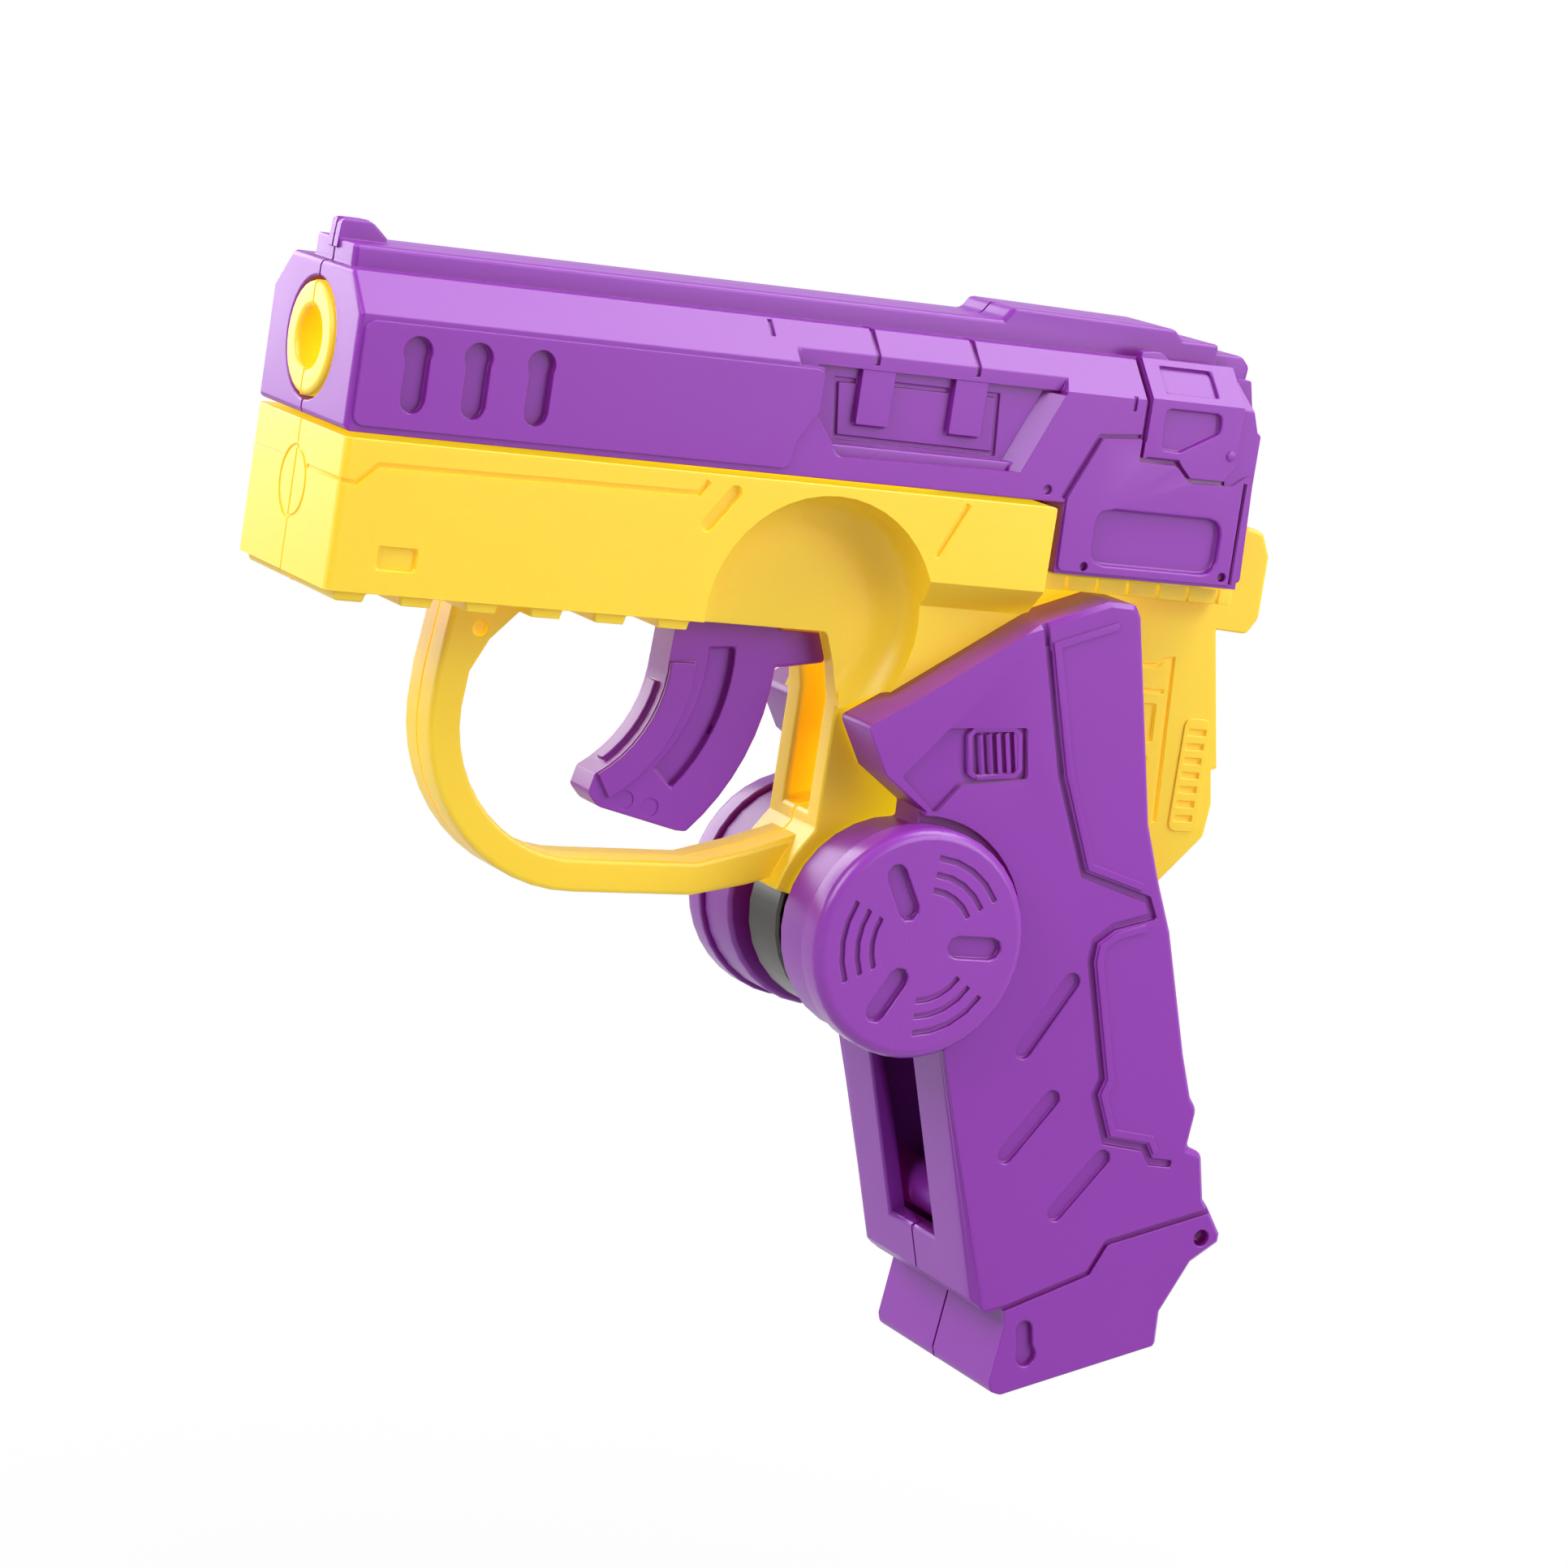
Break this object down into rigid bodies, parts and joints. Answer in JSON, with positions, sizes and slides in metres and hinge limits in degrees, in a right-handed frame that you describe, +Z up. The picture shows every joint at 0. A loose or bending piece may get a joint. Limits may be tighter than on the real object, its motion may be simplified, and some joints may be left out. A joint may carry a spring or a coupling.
{
  "type": "folding toy pistol with a spinner hub",
  "caption": "Folding toy pistol in moulded halves with a racking slide, a sliding trigger and a grip hinged on a ball-bearing finger spinner.",
  "frame": {"origin": "centre of the spinner bearing, on the axle and in the mid-plane, where the hand holds the toy by its finger caps", "axes": "-X the way the muzzle points with the toy open, +Z up, -Y the toy's left side"},
  "size_m": [0.1173, 0.0316, 0.1178],
  "materials": {
    "purple_plastic": "satin",
    "purple_cap_plastic": "gloss",
    "yellow_plastic": "satin",
    "bearing_steel": "ground",
    "dark_race_steel": "blackened",
    "zinc_steel": "zinc plated",
    "black_rubber": "matt",
    "cage_nylon": "matt"
  },
  "bodies": {
    "grip": {"grip_left": "purple_plastic", "grip_right": "purple_plastic", "grip_screw_1": "zinc_steel", "grip_screw_2": "zinc_steel", "grip_screw_3": "zinc_steel"},
    "frame": {"frame_left": "yellow_plastic", "frame_right": "yellow_plastic", "frame_screw_1": "zinc_steel", "frame_screw_2": "zinc_steel", "tail_screw_1": "zinc_steel", "tail_screw_2": "zinc_steel", "bearing_outer_race": "dark_race_steel", "bearing_seal_left": "black_rubber", "bearing_seal_right": "black_rubber", "recoil_spring": "zinc_steel", "trigger_spring": "zinc_steel"},
    "slide": {"slide_left": "purple_plastic", "slide_right": "purple_plastic", "slide_screw_1": "zinc_steel", "slide_screw_2": "zinc_steel", "slide_screw_3": "zinc_steel"},
    "trigger": {"trigger": "purple_plastic"},
    "spinner": {"finger_cap_left": "purple_cap_plastic", "finger_cap_right": "purple_cap_plastic", "spinner_axle": "zinc_steel", "axle_spacer_left": "zinc_steel", "axle_spacer_right": "zinc_steel", "bearing_inner_race": "bearing_steel"},
    "ball_set": {"bearing_cage": "cage_nylon", "bearing_ball_1": "bearing_steel", "bearing_ball_2": "bearing_steel", "bearing_ball_3": "bearing_steel", "bearing_ball_4": "bearing_steel", "bearing_ball_5": "bearing_steel", "bearing_ball_6": "bearing_steel", "bearing_ball_7": "bearing_steel"}
  },
  "joints": [
    {"name": "fold", "type": "hinge", "parent": "grip", "child": "frame", "pos_m": [0, 0, 0], "axis": [0, -1, 0], "range_deg": [0, 110]},
    {"name": "rack_slide", "type": "slide", "parent": "frame", "child": "slide", "axis": [1, 0, 0], "range_m": [0, 0.01], "stiffness_N_per_m": 120, "springref_m": -0.008, "deforming": ["recoil_spring"]},
    {"name": "pull_trigger", "type": "slide", "parent": "frame", "child": "trigger", "axis": [1, 0, 0], "range_m": [0, 0.0042], "stiffness_N_per_m": 350, "springref_m": -0.003, "deforming": ["trigger_spring"]},
    {"name": "spin", "type": "hinge", "parent": "frame", "child": "spinner", "pos_m": [0, 0, 0], "axis": [0, 1, 0], "continuous": true},
    {"name": "roll_balls", "type": "hinge", "parent": "frame", "child": "ball_set", "pos_m": [0, 0, 0], "axis": [0, 1, 0], "continuous": true}
  ],
  "couplings": [
    {"joint": "roll_balls", "follows": "spin", "ratio": 0.3677}
  ]
}
